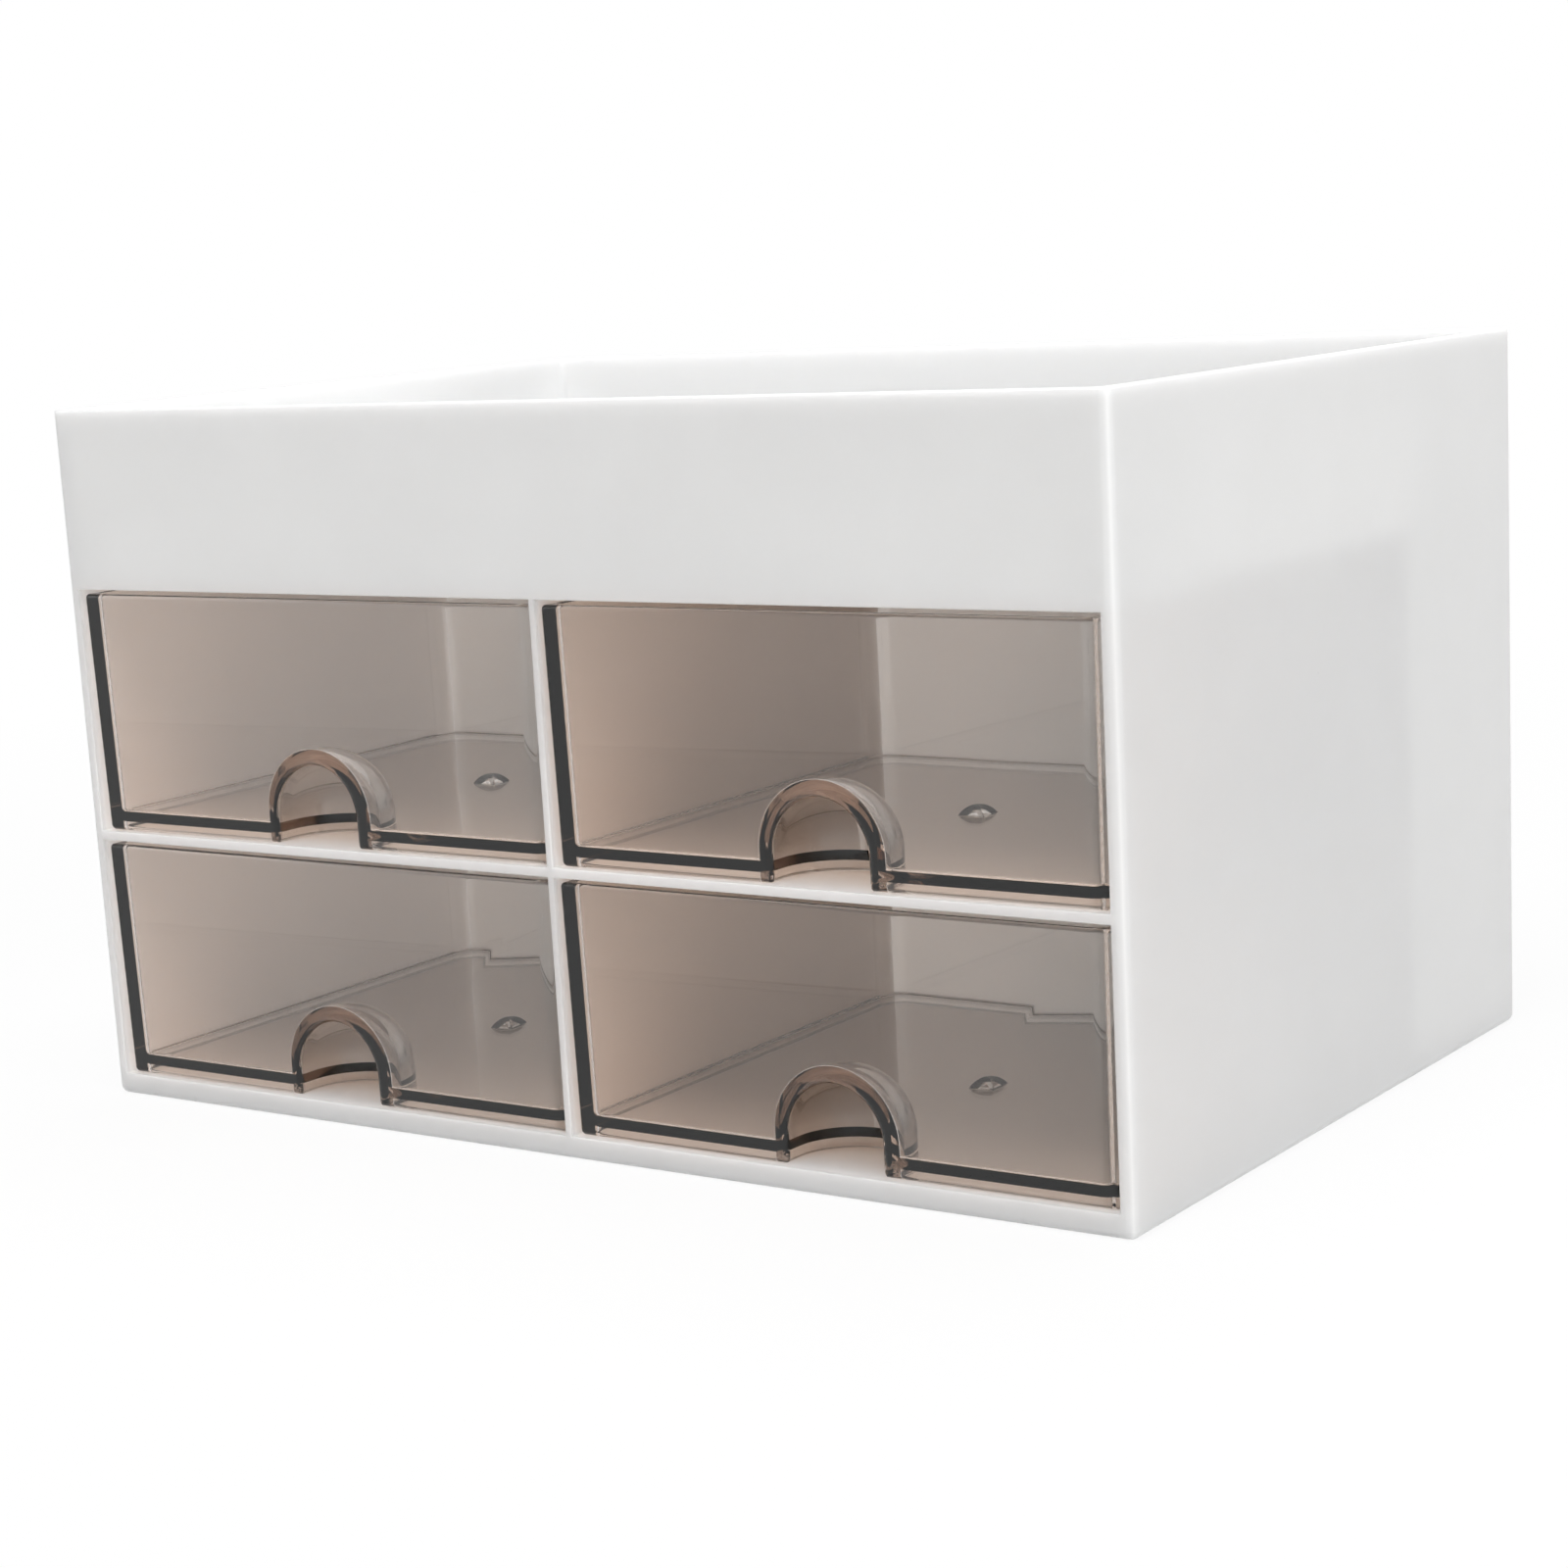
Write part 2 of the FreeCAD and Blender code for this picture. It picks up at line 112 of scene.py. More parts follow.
def add_node(
    tree: bpy.types.NodeTree,
    kind: str,
    settings: dict | None = None,
    numbered: dict | None = None,
    **inputs: object,
) -> bpy.types.Node:
    """Add a node and set or link its inputs.

    Args:
        tree: Node tree that takes the node.
        kind: Blender's name of the node type.
        settings: Values of the node's own properties.
        numbered: Socket numbers, where sockets share a name, to a value or an output socket.
        **inputs: Socket names, with an underscore for each space, to a value or an output socket.

    Returns:
        The new node.
    """
    node = tree.nodes.new(kind)
    for name, value in (settings or {}).items():
        setattr(node, name, value)
    named = {name.replace("_", " "): value for name, value in inputs.items()}
    for key, value in {**named, **(numbered or {})}.items():
        socket = node.inputs[key]
        if isinstance(value, bpy.types.NodeSocket):
            tree.links.new(value, socket)
        else:
            socket.default_value = value
    return node


def blank_material(name: str) -> bpy.types.Material:
    """Make a node material with an empty tree.

    Args:
        name: The material's name.

    Returns:
        The material.
    """
    material = bpy.data.materials.new(name)
    material.use_nodes = True
    material.node_tree.nodes.clear()
    return material


def weigh_normals(piece: bpy.types.Object) -> None:
    """Add a modifier that keeps wide faces even in shade beside round edges.

    Args:
        piece: The object that takes the modifier.
    """
    weighted = piece.modifiers.new("weighted", "WEIGHTED_NORMAL")
    weighted.weight = NORMAL_WEIGHT
    weighted.keep_sharp = True


class Row(Enum):
    """The two rows of bays, by the word in the nodes' names."""

    LOWER = "lower"
    UPPER = "upper"


class Side(Enum):
    """The two columns of bays, by the word in the nodes' names."""

    LEFT = "left"
    RIGHT = "right"


@dataclass(frozen=True)
class MouldedWhite:
    """White ABS from a polished mould: satin gloss, faintly wavy, not quite opaque at 3 mm.

    Some light gets through the walls, so the tray glows and the part beside the dark drawers
    reads a shade greyer. The outer faces are painted a shade greyer and the inner faces whiter,
    which is painted shade outside and painted light in the bays and the tray. Flow makes the
    gloss waver over 40 mm, and leaves a faint mottling and a few dark specks up to 0.7 mm wide.
    """

    # Painted light on the inner faces and painted shade on the outer faces of one white plastic.
    inner_painted_light_colour: str = "#F9F9F8"
    outer_painted_shade_colour: str = "#D4D4D4"
    outer_depth: float = 1.5 * MM
    outer_skin: float = 0.2 * MM
    roughness: float = 0.32
    ior: float = 1.53
    scatter_reach: float = 8.0 * MM
    scatter_by_colour: tuple[float, float, float] = (1.0, 0.98, 0.95)
    wave_length: float = 40 * MM
    wave_depth: float = 0.02 * MM
    wave_detail: float = 2.0
    mottle_length: float = 28 * MM
    mottle_detail: float = 3.0
    mottle_span: tuple[float, float] = (0.35, 0.65)
    mottle_share: float = 0.02
    speck_spacing: float = 60 * MM
    speck_radius: float = 0.35 * MM
    speck_share: float = 0.16

    def blemishes(
        self, tree: bpy.types.NodeTree, place: bpy.types.NodeSocket
    ) -> bpy.types.NodeSocket:
        """Faint mottling of the flow and a few dark specks, as a factor on the colour.

        The mottling's factor rises to one with a noise, between the ends of its span. A
        speck's is least within half its radius and rises to one at its radius. The two
        factors are multiplied.

        Args:
            tree: The material's tree.
            place: Object coordinates.

        Returns:
            The factor's socket.
        """
        flow = add_node(
            tree, "ShaderNodeTexNoise", Vector=place, Scale=1 / self.mottle_length,
            Detail=self.mottle_detail,
        )
        mottle = add_node(
            tree, "ShaderNodeMapRange", Value=flow.outputs["Fac"],
            From_Min=self.mottle_span[0], From_Max=self.mottle_span[1],
            To_Min=1 - self.mottle_share, To_Max=1.0,
        )
        grains = add_node(tree, "ShaderNodeTexVoronoi", Vector=place, Scale=1 / self.speck_spacing)
        speck = add_node(
            tree, "ShaderNodeMapRange", Value=grains.outputs["Distance"],
            From_Min=self.speck_radius / self.speck_spacing / 2,
            From_Max=self.speck_radius / self.speck_spacing,
            To_Min=1 - self.speck_share, To_Max=1.0,
        )
        both = add_node(
            tree, "ShaderNodeMath", {"operation": "MULTIPLY"},
            {0: mottle.outputs[0], 1: speck.outputs[0]},
        )
        return both.outputs[0]

    def painted_shade_share(
        self, tree: bpy.types.NodeTree, place: bpy.types.NodeSocket, half: Vector
    ) -> bpy.types.NodeSocket:
        """Share of the painted shade: one at the outer faces' skin and nought farther in than their
        depth.

        Along each axis the share ramps with the distance in from the box's side, and the
        larger of the two shares counts.

        Args:
            tree: The material's tree.
            place: Object coordinates.
            half: Half of the box's width and depth.

        Returns:
            The share's socket.
        """
        parts = add_node(tree, "ShaderNodeSeparateXYZ", Vector=place)
        shares = []
        for axis in (0, 1):
            size = add_node(
                tree, "ShaderNodeMath", {"operation": "ABSOLUTE"}, {0: parts.outputs[axis]})
            ramp = add_node(
                tree, "ShaderNodeMapRange", Value=size.outputs[0],
                From_Min=half[axis] - self.outer_depth, From_Max=half[axis] - self.outer_skin,
            )
            shares.append(ramp.outputs[0])
        larger = add_node(
            tree, "ShaderNodeMath", {"operation": "MAXIMUM"}, {0: shares[0], 1: shares[1]})
        return larger.outputs[0]

    def material(self, half: Vector) -> bpy.types.Material:
        """Build the finish.

        Args:
            half: Half of the cabinet's width and depth.

        Returns:
            The node material.
        """
        material = blank_material("abs_moulded_white")
        tree = material.node_tree
        place = add_node(tree, "ShaderNodeTexCoord").outputs["Object"]
        waves = add_node(
            tree, "ShaderNodeTexNoise", Vector=place, Scale=1 / self.wave_length,
            Detail=self.wave_detail,
        )
        bump = add_node(
            tree, "ShaderNodeBump", Strength=1.0, Distance=self.wave_depth,
            Height=waves.outputs["Fac"],
        )
        # Inner faces take the painted light and outer faces take the painted shade.
        painted_light_and_shade_tone = add_node(tree, "ShaderNodeMix", {"data_type": "RGBA"}, {
            MIX_FACTOR: self.painted_shade_share(tree, place, half),
            MIX_COLOURS[0]: linear(self.inner_painted_light_colour),
            MIX_COLOURS[1]: linear(self.outer_painted_shade_colour),
        })
        dulled = add_node(
            tree, "ShaderNodeVectorMath", {"operation": "SCALE"},
            {0: painted_light_and_shade_tone.outputs[MIXED_COLOUR]}, Scale=self.blemishes(tree, place),
        )
        surface = add_node(
            tree, "ShaderNodeBsdfPrincipled", Base_Color=dulled.outputs[0],
            Roughness=self.roughness, IOR=self.ior, Subsurface_Weight=1.0,
            Subsurface_Radius=self.scatter_by_colour, Subsurface_Scale=self.scatter_reach,
            Normal=bump.outputs["Normal"],
        )
        add_node(tree, "ShaderNodeOutputMaterial", Surface=surface.outputs["BSDF"])
        return material


@dataclass(frozen=True)
class SmokedClear:
    """Clear styrene with a warm grey dye, from a polished mould.

    Seen through one wall it takes about an eighth of the light, and blue a little more than
    red. Seen edge on, a wall or floor traps the light and reads almost black, and rounded edges
    catch bright lines. The mould's waves swing over 30 mm, and where they are highest the gloss
    is a little hazy.

    Shadow and diffuse rays cross the faces unbent, with the through tint, because light that
    clear walls bend would reach the bays as grain. The tint makes the bays a little warmer.
    """

    tint: str = "#C8B19E"
    density: float = 50.0
    through_tint: str = "#FFF9F4"
    ior: float = 1.52
    wave_length: float = 30 * MM
    wave_depth: float = 0.012 * MM
    wave_detail: float = 1.0
    haze: float = 0.03
    haze_span: tuple[float, float] = (0.5, 0.8)

    def material(self) -> bpy.types.Material:
        """Build the finish.

        Returns:
            The node material.
        """
        material = blank_material("styrene_smoked_clear")
        tree = material.node_tree
        place = add_node(tree, "ShaderNodeTexCoord").outputs["Object"]
        waves = add_node(
            tree, "ShaderNodeTexNoise", Vector=place, Scale=1 / self.wave_length,
            Detail=self.wave_detail,
        )
        bump = add_node(
            tree, "ShaderNodeBump", Strength=1.0, Distance=self.wave_depth,
            Height=waves.outputs["Fac"],
        )
        haze = add_node(
            tree, "ShaderNodeMapRange", Value=waves.outputs["Fac"],
            From_Min=self.haze_span[0], From_Max=self.haze_span[1], To_Min=0.0, To_Max=self.haze,
        )
        surface = add_node(
            tree, "ShaderNodeBsdfPrincipled", Base_Color=linear("#FFFFFF"), IOR=self.ior,
            Roughness=haze.outputs[0], Transmission_Weight=1.0, Normal=bump.outputs["Normal"],
        )
        path = add_node(tree, "ShaderNodeLightPath")
        soft = add_node(
            tree, "ShaderNodeMath", {"operation": "MAXIMUM"},
            {0: path.outputs["Is Shadow Ray"], 1: path.outputs["Is Diffuse Ray"]},
        )
        through = add_node(tree, "ShaderNodeBsdfTransparent", Color=linear(self.through_tint))
        mix = add_node(
            tree, "ShaderNodeMixShader", None, {1: surface.outputs[0], 2: through.outputs[0]},
            Fac=soft.outputs[0],
        )
        smoke = add_node(
            tree, "ShaderNodeVolumeAbsorption", Color=linear(self.tint), Density=self.density,
        )
        add_node(
            tree, "ShaderNodeOutputMaterial", Surface=mix.outputs[0],
            Volume=smoke.outputs["Volume"],
        )
        return material


def ring_faces(rows: int, columns: int, closed: bool) -> np.ndarray:
    """Quads of a grid of points in row order.

    Args:
        rows: Number of rows of points.
        columns: Number of points in a row.
        closed: Whether each row's last point joins its first.

    Returns:
        Array of four point numbers for each quad.
    """
    row, column = np.meshgrid(
        np.arange(rows - 1), np.arange(columns if closed else columns - 1), indexing="ij"
    )
    following = (column + 1) % columns
    first = row * columns
    second = (row + 1) * columns
    quads = np.stack([first + column, first + following, second + following, second + column], -1)
    return quads.reshape(-1, 4)


def mesh_from(name: str, points: np.ndarray, faces: list) -> bpy.types.Mesh:
    """Make a mesh, merge points that coincide and turn its faces outwards.

    Args:
        name: The mesh's name.
        points: Points, one row each, in metres.
        faces: Lists of point numbers.

    Returns:
        The mesh.
    """
    mesh = bpy.data.meshes.new(name)
    mesh.from_pydata(points.tolist(), [], faces)
    work = bmesh.new()
    work.from_mesh(mesh)
    bmesh.ops.remove_doubles(work, verts=work.verts, dist=MERGE_REACH)
    bmesh.ops.dissolve_degenerate(work, edges=work.edges, dist=MERGE_REACH)
    bmesh.ops.recalc_face_normals(work, faces=work.faces)
    work.to_mesh(mesh)
    work.free()
    return mesh


@dataclass(frozen=True)
class ScoopSkin:
    """Sizes of one skin of the scoop, in metres.

    The section starts at a place along the path and its legs end at a foot's height. It grows
    by the flare at one place along the path, and its legs spread by the toe at the bottom.
    """

    name: str
    radius: float
    start: float
    foot: float
    flare: float
    flare_at: float
    toe: float


@dataclass
class DrawerShell:
    """One smoked clear drawer: a drafted box with a scoop, a skirt and a nub on its floor.

    Lengths are metres. The origin is the front middle of the drawer's bottom. The scoop's wall
    is thicker than the solid's, because the dark ring round the scoop shows it so.
    """

    width: float
    length: float
    height: float
    draft: float = math.radians(0.6)
    wall: float = 2.0 * MM
    floor: float = 2.0 * MM
    skirt: float = 1.9 * MM
    front_radius: float = 1.0 * MM
    rear_radius: float = 6.5 * MM
    inner_front_radius: float = 2.8 * MM
    base_radius: float = 1.2 * MM
    floor_radius: float = 0.9 * MM
    rim_radius: float = 0.9 * MM
    scoop_radius: float = 10.7 * MM
    scoop_wall: float = 3.3 * MM
    scoop_centre: float = 6.2 * MM
    scoop_reach: float = 5.2 * MM
    mouth_radius: float = 1.5 * MM
    toe_radius: float = 1.1 * MM
    root_radius: float = 0.3 * MM
    nub_radius: float = 4.0 * MM
    nub_height: float = 2.0 * MM
    dimple_radius: float = 3.2 * MM
    dimple_height: float = 2.0 * MM
    # How far the cutter of the scoop's hollow sticks out of the drawer.
    overrun: float = 5.0 * MM
    # Where the scoop's shell starts, as a share of the front wall's thickness.
    scoop_start: float = 0.9
    # A corner keeps this radius at least, so that its points stay apart.
    least_radius: float = 0.02 * MM
    # Where a cap's rings start, as a share of its angle, so that none is a point.
    cap_start: float = 0.02
    # Where the rings between a cap and the field's edge lie.
    field_shares: tuple[float, float] = (0.08, 0.5)
    corner_steps: int = 8
    edge_steps: int = 6
    arch_steps: int = 16
    swing_steps: int = 32
    cap_rings: int = 10

    def lean(self, height: np.ndarray | float) -> np.ndarray | float:
        """Inset of the outer wall at a height, which the draft makes grow towards the bottom."""
        return (self.height - height) * math.tan(self.draft)

    def loops(
        self, inset: np.ndarray, height: np.ndarray, front_r: np.ndarray, rear_r: np.ndarray
    ) -> np.ndarray:
        """Rounded rectangles, one for each point of a wall profile.

        A loop lies at its inset from the rim's outline. Each corner is an arc about a centre
        one corner radius in from both sides, and straight sides join the arcs.

        Args:
            inset: Distance in from the rim's outline, one for each loop.
            height: Height of each loop.
            front_r: Radius of the two front corners of each loop.
            rear_r: Radius of the two rear corners of each loop.

        Returns:
            Points by loop and by place along it.
        """
        quarter = np.linspace(0, math.pi / 2, self.corner_steps + 1)
        angle = np.concatenate([quarter + k * math.pi / 2 for k in (-1, 0, 1, 2)])
        across = np.repeat([1, 1, -1, -1], self.corner_steps + 1)
        at_front = np.repeat([True, False, False, True], self.corner_steps + 1)
        radius = np.where(at_front, front_r[:, None], rear_r[:, None])
        radius = np.maximum(radius, self.least_radius)
        inset = inset[:, None]
        centre_x = across * (self.width / 2 - inset - radius)
        centre_y = np.where(at_front, inset + radius, self.length - inset - radius)
        x = centre_x + radius * np.cos(angle)
        y = centre_y + radius * np.sin(angle)
        z = np.broadcast_to(height[:, None], x.shape)
        return np.stack([x, y, z], -1)

    def wall_profile(self) -> tuple[np.ndarray, np.ndarray, np.ndarray, np.ndarray]:
        """Section of the wall from the floor over the rim to the underside of the floor.

        Round edges are quarter circles. The corner radii of a loop shrink by as much as its
        edge has moved in, so the round edges keep their width round the corners.

        Returns:
            Inset, height, front corner radius and rear corner radius along the section.
        """
        turn = np.linspace(0, math.pi / 2, self.edge_steps + 1)
        floor_top = self.skirt + self.floor
        inner_rear = self.rear_radius - self.wall
        rows = []

        def add(inset: np.ndarray, height: np.ndarray, front: np.ndarray, rear: np.ndarray) -> None:
            """Append a stretch of the section, one number or one array of them for each size."""
            rows.append(np.stack(np.broadcast_arrays(inset, height, front, rear)))

        moved = self.floor_radius * (1 - np.sin(turn))
        rise = floor_top + self.floor_radius * (1 - np.cos(turn))
        add(self.lean(rise) + self.wall + moved, rise,
            self.inner_front_radius - moved, inner_rear - moved)
        moved = self.rim_radius * (1 - np.cos(turn))
        rise = self.height - self.rim_radius * (1 - np.sin(turn))
        add(self.lean(rise) + self.wall - moved, rise,
            self.inner_front_radius + moved, inner_rear + moved)
        moved = self.rim_radius * (1 - np.sin(turn))
        rise = self.height - self.rim_radius * (1 - np.cos(turn))
        add(self.lean(rise) + moved, rise, self.front_radius - moved, self.rear_radius - moved)
        moved = self.base_radius * (1 - np.cos(turn))
        rise = self.base_radius * (1 - np.sin(turn))
        add(self.lean(rise) + moved, rise, self.front_radius - moved, self.rear_radius - moved)
        rise = np.array([0.0, self.skirt])
        add(self.lean(0.0) + self.wall, rise, self.inner_front_radius, inner_rear)
        return tuple(np.concatenate(rows, axis=1))

    def floor_rings(
        self, edge: np.ndarray, level: float, cap_radius: float, cap_height: float
    ) -> np.ndarray:
        """Rings of a level field with a shallow round cap in its middle.

        Outside the cap a ring is a mix of the field's edge and the cap's circle at the same
        angle. On the cap the height is that of a sphere through its circle and its top, whose
        radius is the sum of the squares of the cap's radius and rise over twice the rise.

        Args:
            edge: The loop round the field.
            level: Height of the field.
            cap_radius: Radius of the cap's circle.
            cap_height: Rise of the cap above the field.

        Returns:
            Points by ring and by place along it, the innermost ring first.
        """
        centre = np.array([0, self.length / 2])
        direction = edge[:, :2] - centre
        direction /= np.linalg.norm(direction, axis=1)[:, None]
        sphere = (cap_radius ** 2 + cap_height ** 2) / (2 * cap_height)
        angle = np.linspace(self.cap_start, 1, self.cap_rings) * math.asin(cap_radius / sphere)
        reach = sphere * np.sin(angle)
        rise = level + cap_height - sphere * (1 - np.cos(angle))
        cap = np.concatenate([
            centre + reach[:, None, None] * direction,
            np.broadcast_to(rise[:, None, None], (len(reach), len(edge), 1)),
        ], axis=-1)
        share = np.array(self.field_shares)[:, None, None]
        field = cap[-1] * (1 - share) + edge * share
        field[..., 2] = level
        return np.concatenate([cap, field])

    def box_mesh(self) -> bpy.types.Mesh:
        """Closed shell of the drawer without its scoop.

        The rings run from the nub over the floor, up the inner walls, over the rim, down the
        outer walls and in along the underside to the dimple.

        Returns:
            The mesh.
        """
        walls = self.loops(*self.wall_profile())
        top = self.floor_rings(
            walls[0], self.skirt + self.floor, self.nub_radius, self.nub_height)
        under = self.floor_rings(walls[-1], self.skirt, self.dimple_radius, self.dimple_height)
        rings = np.concatenate([top, walls, under[::-1]])
        rows, columns = rings.shape[:2]
        faces = ring_faces(rows, columns, closed=True).tolist()
        faces.append(list(range(columns)))
        faces.append(list(range((rows - 1) * columns, rows * columns))[::-1])
        return mesh_from("drawer_box", rings.reshape(-1, 3), faces)

    def scoop_mesh(self, skin: ScoopSkin) -> bpy.types.Mesh:
        """Closed solid of the scoop: an arch section carried along a U-shaped path in plan.

        The section is half an arch: a leg that stands at the radius, then a quarter circle to
        the ridge. The path runs in from the front, turns half a circle about the dome's axis
        and runs out again. Along the path the section grows as a quarter circle towards the
        front, and the legs spread as a quarter circle towards their foot.

        Args:
            skin: Sizes of this skin.

        Returns:
            The mesh.
        """
        turn = np.linspace(0, math.pi / 2, self.edge_steps + 1)
        arch = np.linspace(0, math.pi / 2, self.arch_steps + 1)
        runs = np.concatenate([
            [skin.start], skin.flare_at + skin.flare * (1 - np.cos(turn)), [self.scoop_reach]])
        growth = np.concatenate([[skin.flare], skin.flare * (1 - np.sin(turn)), [0.0]])
        swing = np.linspace(0, math.pi, self.swing_steps + 1)[1:-1]
        grown = np.concatenate([growth, np.zeros(len(swing)), growth[::-1]])
        along = np.concatenate([runs, np.full(len(swing), self.scoop_reach), runs[::-1]])
        angle = np.concatenate([np.zeros(len(runs)), swing, np.full(len(runs), math.pi)])
        leg_rise = np.concatenate([[skin.foot], skin.toe * (1 - np.cos(turn))])
        leg_spread = np.concatenate([[skin.toe], skin.toe * (1 - np.sin(turn))])
        radius = (skin.radius + grown)[:, None]
        reach = np.concatenate([radius + leg_spread, radius * np.cos(arch)], axis=1)
        rise = np.concatenate([
            np.broadcast_to(leg_rise, (len(grown), len(leg_rise))),
            self.scoop_centre + radius * np.sin(arch),
        ], axis=1)
        level_at = self.wall + self.root_radius
        fade = np.clip((self.scoop_reach - along) / (self.scoop_reach - level_at), 0, 1)
        x = reach * np.cos(angle)[:, None]
        y = along[:, None] + reach * np.sin(angle)[:, None]
        y = y + fade[:, None] * self.lean(np.maximum(rise, 0))
        rings = np.stack([x, y, rise], -1)
        rows, columns = rings.shape[:2]
        last = (rows - 1) * columns
        faces = ring_faces(rows, columns, closed=False).tolist()
        faces.append([row * columns for row in range(rows)])
        faces.append(list(range(columns)) + [last + k for k in range(columns - 2, -1, -1)])
        return mesh_from(skin.name, rings.reshape(-1, 3), faces)

    def mesh(self) -> bpy.types.Mesh:
        """Join the box and the scoop's shell, open the scoop and set smooth normals.

        Returns:
            The finished mesh of one drawer at the origin.
        """
        skins = (
            ScoopSkin(
                name="scoop_shell", radius=self.scoop_radius + self.scoop_wall,
                start=self.wall * self.scoop_start, foot=0.0,
                flare=self.root_radius, flare_at=self.wall, toe=0.0,
            ),
            ScoopSkin(
                name="scoop_hollow", radius=self.scoop_radius,
                start=-self.overrun, foot=-self.overrun,
                flare=self.mouth_radius, flare_at=0.0, toe=self.toe_radius,
            ),
        )
        body = bpy.data.objects.new("drawer_body", self.box_mesh())
        shell, hollow = [bpy.data.objects.new(skin.name, self.scoop_mesh(skin)) for skin in skins]
        for item in (body, shell, hollow):
            bpy.context.scene.collection.objects.link(item)
        for cutter, operation in ((shell, "UNION"), (hollow, "DIFFERENCE")):
            step = body.modifiers.new(operation.lower(), "BOOLEAN")
            step.operation = operation
            step.solver = "EXACT"
            step.object = cutter
        joined = bpy.data.meshes.new_from_object(
            body.evaluated_get(bpy.context.evaluated_depsgraph_get()))
        for item in (body, shell, hollow):
            bpy.data.objects.remove(item)
        joined.name = "drawer_joined"
        return self.smooth(joined)

    @staticmethod
    def smooth(mesh: bpy.types.Mesh) -> bpy.types.Mesh:
        """Shade the mesh smooth, with weighted normals and sharp corners.

        These normals leave a small false step in the rear floor line near its right end.

        Args:
            mesh: The mesh, which stays without its new normals.

        Returns:
            A copy that holds them.
        """
        mesh.shade_smooth()
        mesh.set_sharp_from_angle(angle=SHARP_ANGLE)
        holder = bpy.data.objects.new("drawer_smooth", mesh)
        bpy.context.scene.collection.objects.link(holder)
        weigh_normals(holder)
        done = bpy.data.meshes.new_from_object(
            holder.evaluated_get(bpy.context.evaluated_depsgraph_get()))
        bpy.data.objects.remove(holder)
        return done


@dataclass
class Drawers:
    """The four drawers, each placed where its CAD node is."""

    finish: SmokedClear

    def build(self) -> list[bpy.types.Object]:
        """Make one shell and place a copy of it in each bay.

        Returns:
            The four pieces.
        """
        low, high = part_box("drawer_lower_left")
        size = high - low
        shell = DrawerShell(width=size.x, length=size.y, height=size.z).mesh()
        material = self.finish.material()
        pieces = []
        for row in Row:
            for side in Side:
                node = f"drawer_{row.value}_{side.value}"
                low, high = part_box(node)
                mesh = shell.copy()
                mesh.name = f"{node}_shell"
                mesh.transform(Matrix.Translation(((low.x + high.x) / 2, low.y, low.z)))
                mesh.materials.clear()
                mesh.materials.append(material)
                piece = bpy.data.objects.new(f"{node}_shell", mesh)
                bpy.context.scene.collection.objects.link(piece)
                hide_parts(node)
                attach(piece, node)
                pieces.append(piece)
        return pieces


@dataclass
class Cabinet:
    """The white cabinet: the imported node, smoothed and finished."""

    finish: MouldedWhite

    def dress(self, node: bpy.types.Object) -> None:
        """Give the node its finish and smooth normals.

        Args:
            node: The cabinet's CAD node.
        """
        node.data.materials.clear()
        low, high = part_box(node.name)
        node.data.materials.append(self.finish.material((high - low) / 2))
        weld = node.modifiers.new("weld", "WELD")
        weld.merge_threshold = MERGE_REACH
        weigh_normals(node)


@dataclass
class PhotoCamera:
    """The photograph's camera, solved from the cabinet's edges.

    The place is in the CAD frame. Azimuth turns the view about the vertical from looking along
    +Y, elevation tips it down, and roll turns the picture clockwise. The focal length and the
    optical centre are in pixels of a square frame.
    """

    place: tuple[float, float, float] = (393.5 * MM, -569.05 * MM, 178.6 * MM)
    azimuth: float = math.radians(35.657)
    elevation: float = math.radians(12.145)
    roll: float = math.radians(3.294)
    sensor: float = 36.0
    frame_px: float = 1600.0
    focal_px: float = 3292.5
    centre_px: tuple[float, float] = (767.8, 947.0)

    def build(self) -> None:
        """Make the camera and make it the scene's own."""
        level = math.cos(self.elevation)
        ahead = Vector((-math.sin(self.azimuth) * level, math.cos(self.azimuth) * level,
                        -math.sin(self.elevation)))
        right = ahead.cross(Vector((0, 0, 1))).normalized()
        down = ahead.cross(right)
        turned_right = right * math.cos(self.roll) + down * math.sin(self.roll)
        turned_down = down * math.cos(self.roll) - right * math.sin(self.roll)
        axes = Matrix((turned_right, -turned_down, -ahead)).transposed()
        data = bpy.data.cameras.new("photo_camera")
        data.sensor_width = self.sensor
        data.lens = self.focal_px / self.frame_px * self.sensor
        data.shift_x = 0.5 - self.centre_px[0] / self.frame_px
        data.shift_y = self.centre_px[1] / self.frame_px - 0.5
        camera = bpy.data.objects.new("photo_camera", data)
        camera.matrix_world = Matrix.Translation(self.place) @ axes.to_4x4()
        bpy.context.scene.collection.objects.link(camera)
        bpy.context.scene.camera = camera


@dataclass(frozen=True)
class Softbox:
    """A square soft lamp that faces the object.

    Lengths are metres and the power is watts. Only a mirrored lamp shows in gloss and through
    clear walls.
    """

    name: str
    place: tuple[float, float, float]
    size: float
    power: float
    mirrored: bool = True

    def build(self, target: Vector) -> None:
        """Hang the lamp.

        Args:
            target: The point that it faces.
        """
        data = bpy.data.lights.new(f"softbox_{self.name}", "AREA")
        data.size = self.size
        data.energy = self.power
        lamp = bpy.data.objects.new(f"softbox_{self.name}", data)
        lamp.location = self.place
        lamp.visible_glossy = self.mirrored
        lamp.visible_transmission = self.mirrored
        lamp.rotation_mode = "QUATERNION"
        lamp.rotation_quaternion = (target - Vector(self.place)).to_track_quat("-Z", "Y")
        bpy.context.scene.collection.objects.link(lamp)


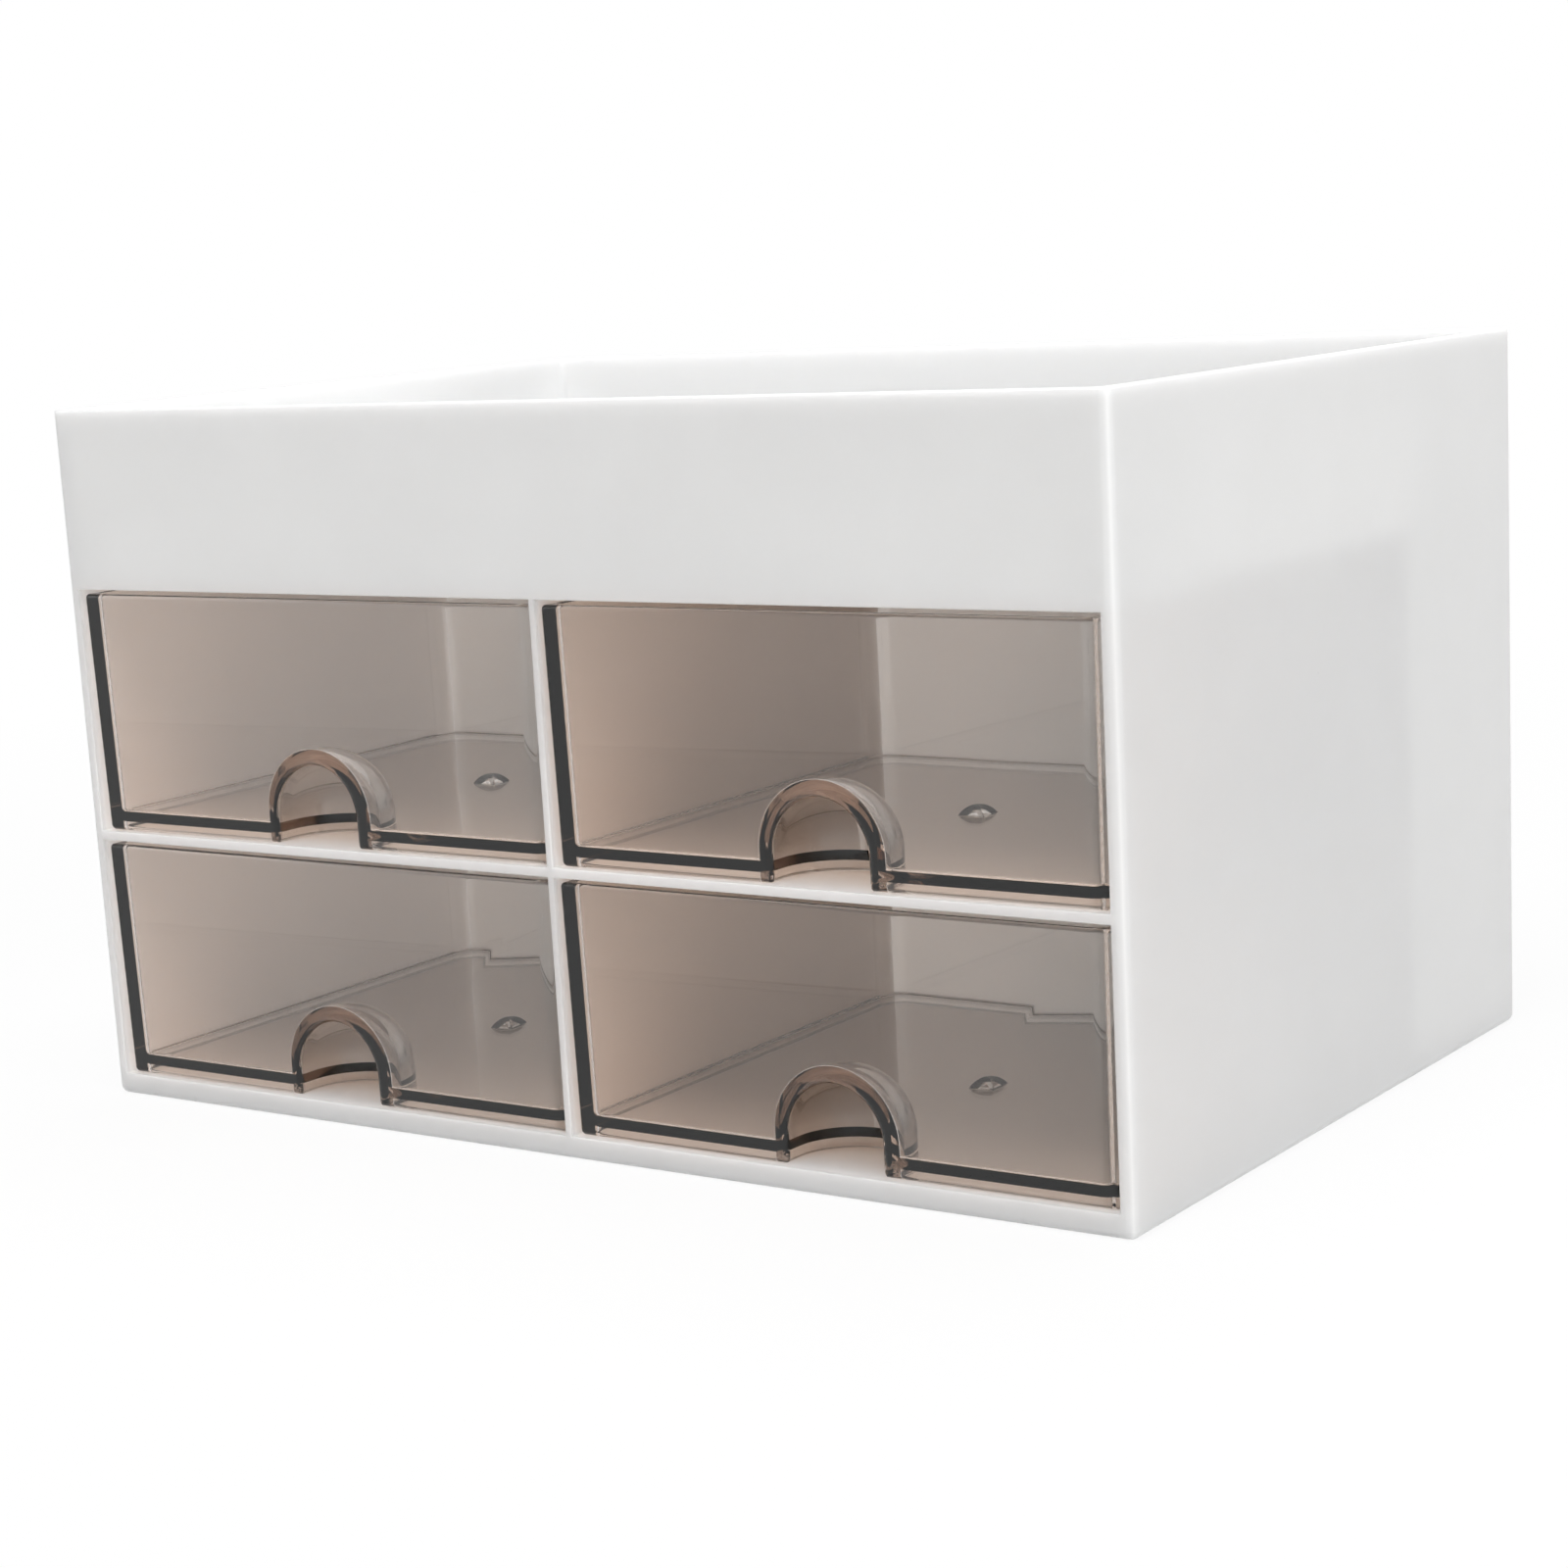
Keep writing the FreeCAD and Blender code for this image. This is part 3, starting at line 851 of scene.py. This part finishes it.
@dataclass
class Studio:
    """Pale floor, white surround and soft lamps: a key from the front and fills all round.

    Lengths are metres. To the eye the floor is a little off white near the object, and full
    white farther away. The surround lights the object with only a small share of its white.
    """

    floor_size: float = 6.0
    floor_colour: str = "#E8E8E8"
    near_white: float = 0.9
    near_reach: float = 0.25
    far_reach: float = 0.7
    surround: float = 0.04
    lamps: tuple[Softbox, ...] = (
        Softbox("key", (1.20, -1.60, 0.20), 0.36, 7.8, mirrored=False),
        Softbox("front", (0.20, -0.80, 1.70), 1.0, 18.5),
        Softbox("right", (1.90, -0.30, 0.70), 1.0, 14.5),
        Softbox("top", (0.0, 0.20, 1.90), 1.6, 23.3),
        Softbox("rear", (0.0, 0.90, 0.35), 0.6, 1.1),
        Softbox("left", (-1.60, -1.00, 0.90), 1.2, 5.2),
    )

    def build(self) -> None:
        """Make the floor, the surround and the lamps."""
        self.make_floor()
        self.make_surround()
        low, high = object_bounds()
        middle = (Vector(low) + Vector(high)) / 2
        for lamp in self.lamps:
            lamp.build(middle)

    def make_floor(self) -> None:
        """Flat square floor under the object."""
        half = self.floor_size / 2
        mesh = bpy.data.meshes.new("floor")
        corners = [(-half, -half, 0), (half, -half, 0), (half, half, 0), (-half, half, 0)]
        mesh.from_pydata(corners, [], [(0, 1, 2, 3)])
        floor = bpy.data.objects.new("floor", mesh)
        bpy.context.scene.collection.objects.link(floor)
        floor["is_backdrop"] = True
        mesh.materials.append(self.floor_material())

    def floor_material(self) -> bpy.types.Material:
        """White to the eye, in gloss and through clear walls, with the object's soft shadow kept.

        The share of white ramps with the distance from the floor's middle.

        Returns:
            The node material.
        """
        material = blank_material("paper_white_floor")
        tree = material.node_tree
        paint = add_node(tree, "ShaderNodeBsdfDiffuse", Color=linear(self.floor_colour))
        glow = add_node(tree, "ShaderNodeEmission", Color=linear("#FFFFFF"), Strength=1.0)
        away = add_node(
            tree, "ShaderNodeVectorMath", {"operation": "LENGTH"},
            Vector=add_node(tree, "ShaderNodeTexCoord").outputs["Object"],
        )
        white = add_node(
            tree, "ShaderNodeMapRange", Value=away.outputs["Value"], From_Min=self.near_reach,
            From_Max=self.far_reach, To_Min=self.near_white, To_Max=1.0,
        )
        path = add_node(tree, "ShaderNodeLightPath")
        sharp = add_node(
            tree, "ShaderNodeMath", {"operation": "MAXIMUM"},
            {0: path.outputs["Is Glossy Ray"], 1: path.outputs["Is Transmission Ray"]},
        )
        looked = add_node(
            tree, "ShaderNodeMath", {"operation": "MAXIMUM"},
            {0: path.outputs["Is Camera Ray"], 1: sharp.outputs[0]},
        )
        seen = add_node(
            tree, "ShaderNodeMath", {"operation": "MULTIPLY"},
            {0: looked.outputs[0], 1: white.outputs[0]},
        )
        mix = add_node(
            tree, "ShaderNodeMixShader", None, {1: paint.outputs[0], 2: glow.outputs[0]},
            Fac=seen.outputs[0],
        )
        add_node(tree, "ShaderNodeOutputMaterial", Surface=mix.outputs[0])
        return material

    def make_surround(self) -> None:
        """World that is white to the eye, in gloss and through clear walls, and lights little."""
        world = bpy.data.worlds.new("surround")
        bpy.context.scene.world = world
        world.use_nodes = True
        tree = world.node_tree
        tree.nodes.clear()
        path = add_node(tree, "ShaderNodeLightPath")
        strength = add_node(tree, "ShaderNodeMix", {"data_type": "FLOAT"}, {
            MIX_FACTOR: path.outputs["Is Diffuse Ray"],
            MIX_FLOATS[0]: 1.0,
            MIX_FLOATS[1]: self.surround,
        })
        back = add_node(
            tree, "ShaderNodeBackground", Color=linear("#FFFFFF"), Strength=strength.outputs[0])
        add_node(tree, "ShaderNodeOutputWorld", Surface=back.outputs[0])


def main() -> None:
    """Load the frame, light it, dress it and report each piece."""
    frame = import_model()
    bpy.context.scene.view_settings.view_transform = "Standard"
    PhotoCamera().build()
    Studio().build()
    cabinet = frame["nodes"]["cabinet"]
    Cabinet(MouldedWhite()).dress(cabinet)
    for piece in [cabinet, *Drawers(SmokedClear()).build()]:
        LOG.info("%s has %d faces", piece.name, len(piece.data.polygons))


if __name__ == "__main__":
    logging.basicConfig(level=logging.INFO)
    main()
